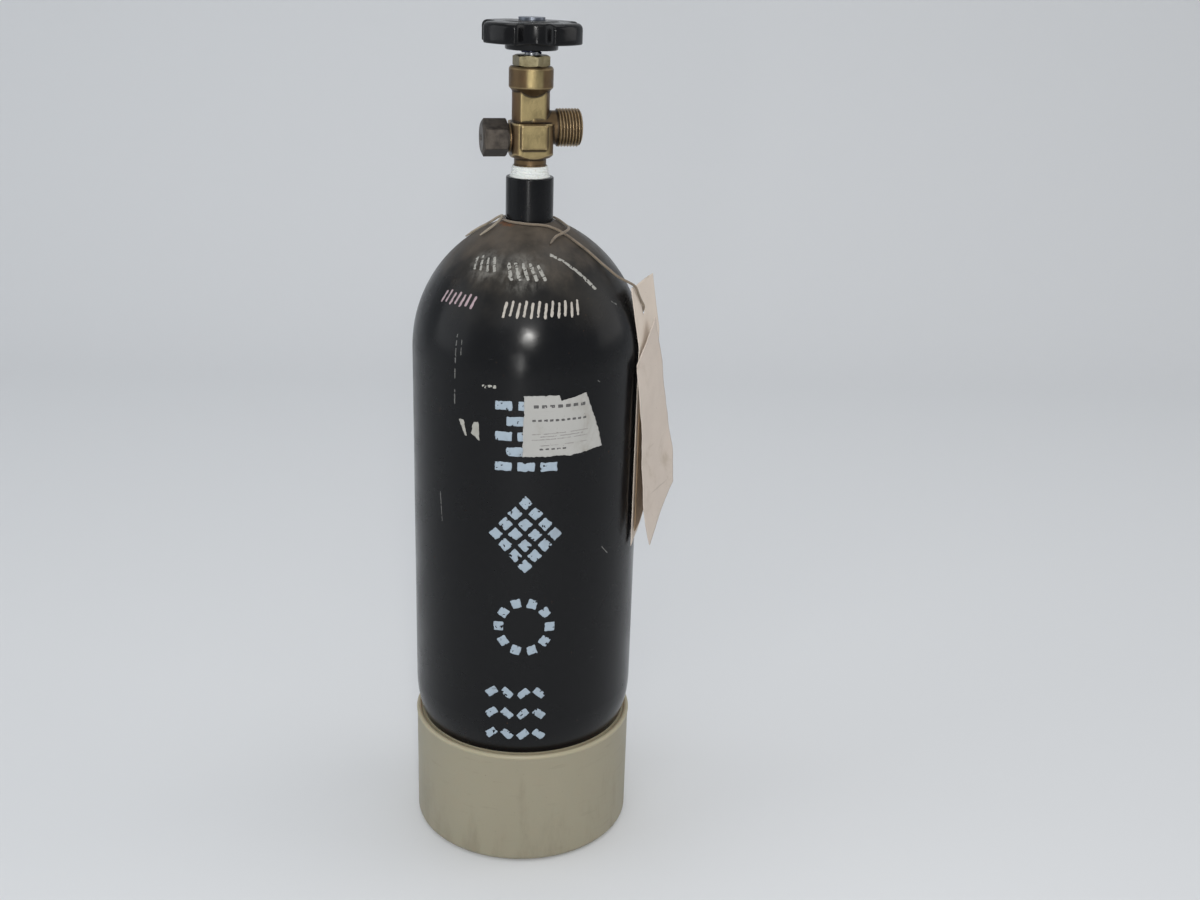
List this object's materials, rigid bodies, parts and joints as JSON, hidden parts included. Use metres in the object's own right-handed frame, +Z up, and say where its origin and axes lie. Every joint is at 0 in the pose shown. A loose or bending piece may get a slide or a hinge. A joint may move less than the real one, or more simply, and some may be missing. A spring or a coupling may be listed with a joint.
{
  "type": "gas cylinder",
  "caption": "Small black steel gas cylinder in a cream foot boot, with a brass hand-wheel valve, side outlet, safety cap, tie string, hanging tags and a torn label.",
  "frame": {"origin": "centre of the foot boot's flat underside, on the floor", "axes": "+Z up along the cylinder's axis; +X the way the valve's outlet points; the marked front faces about 11 degrees from -Y towards -X"},
  "size_m": [0.1639, 0.1412, 0.5166],
  "materials": {
    "black_paint": "gloss, scuffed, with dust and rust by the neck",
    "boot_plastic": "matt cream, yellowed",
    "brass": "cast and dulled, brown with age",
    "nut_brass": "machined, lightly tarnished",
    "dark_brass": "dark brown patina",
    "thread_tape": "white sealing tape and seals, matt",
    "spindle_steel": "machined",
    "spring_steel": "dark, oiled",
    "screw_steel": "dark plated",
    "black_bakelite": "glossy black",
    "string": "twisted, dirty brown",
    "paper": "soiled pinkish-white paper",
    "card": "brown card",
    "label_paper": "torn whitish paper"
  },
  "bodies": {
    "cylinder": {"cylinder_shell": "black_paint", "foot_boot": "boot_plastic", "valve_body": "brass", "seal_tape": "thread_tape", "gland_nut": "nut_brass", "gland_packing": "thread_tape", "thrust_washer": "nut_brass", "safety_cap": "dark_brass", "burst_disc": "nut_brass", "disc_gasket": "thread_tape", "cap_washer": "dark_brass", "tie_string": "string", "string_ends": "string", "hang_tag": "paper", "card_tag": "card", "front_slip": "paper", "torn_label": "label_paper"},
    "handwheel_set": {"spindle": "spindle_steel", "handwheel": "black_bakelite", "handwheel_spring": "spring_steel", "handwheel_screw": "screw_steel"},
    "plug_set": {"valve_plug": "nut_brass", "seat_disc": "thread_tape"}
  },
  "joints": [
    {"name": "valve_turn", "type": "hinge", "parent": "cylinder", "child": "handwheel_set", "pos_m": [0, 0, 0.48324], "axis": [0, 0, 1], "range_deg": [0, 540]},
    {"name": "plug_lift", "type": "slide", "parent": "handwheel_set", "child": "plug_set", "axis": [0, 0, 1], "range_m": [0, 0.00225]}
  ],
  "couplings": [
    {"joint": "valve_turn", "follows": "plug_lift", "rad_per_m": 4188.8}
  ]
}
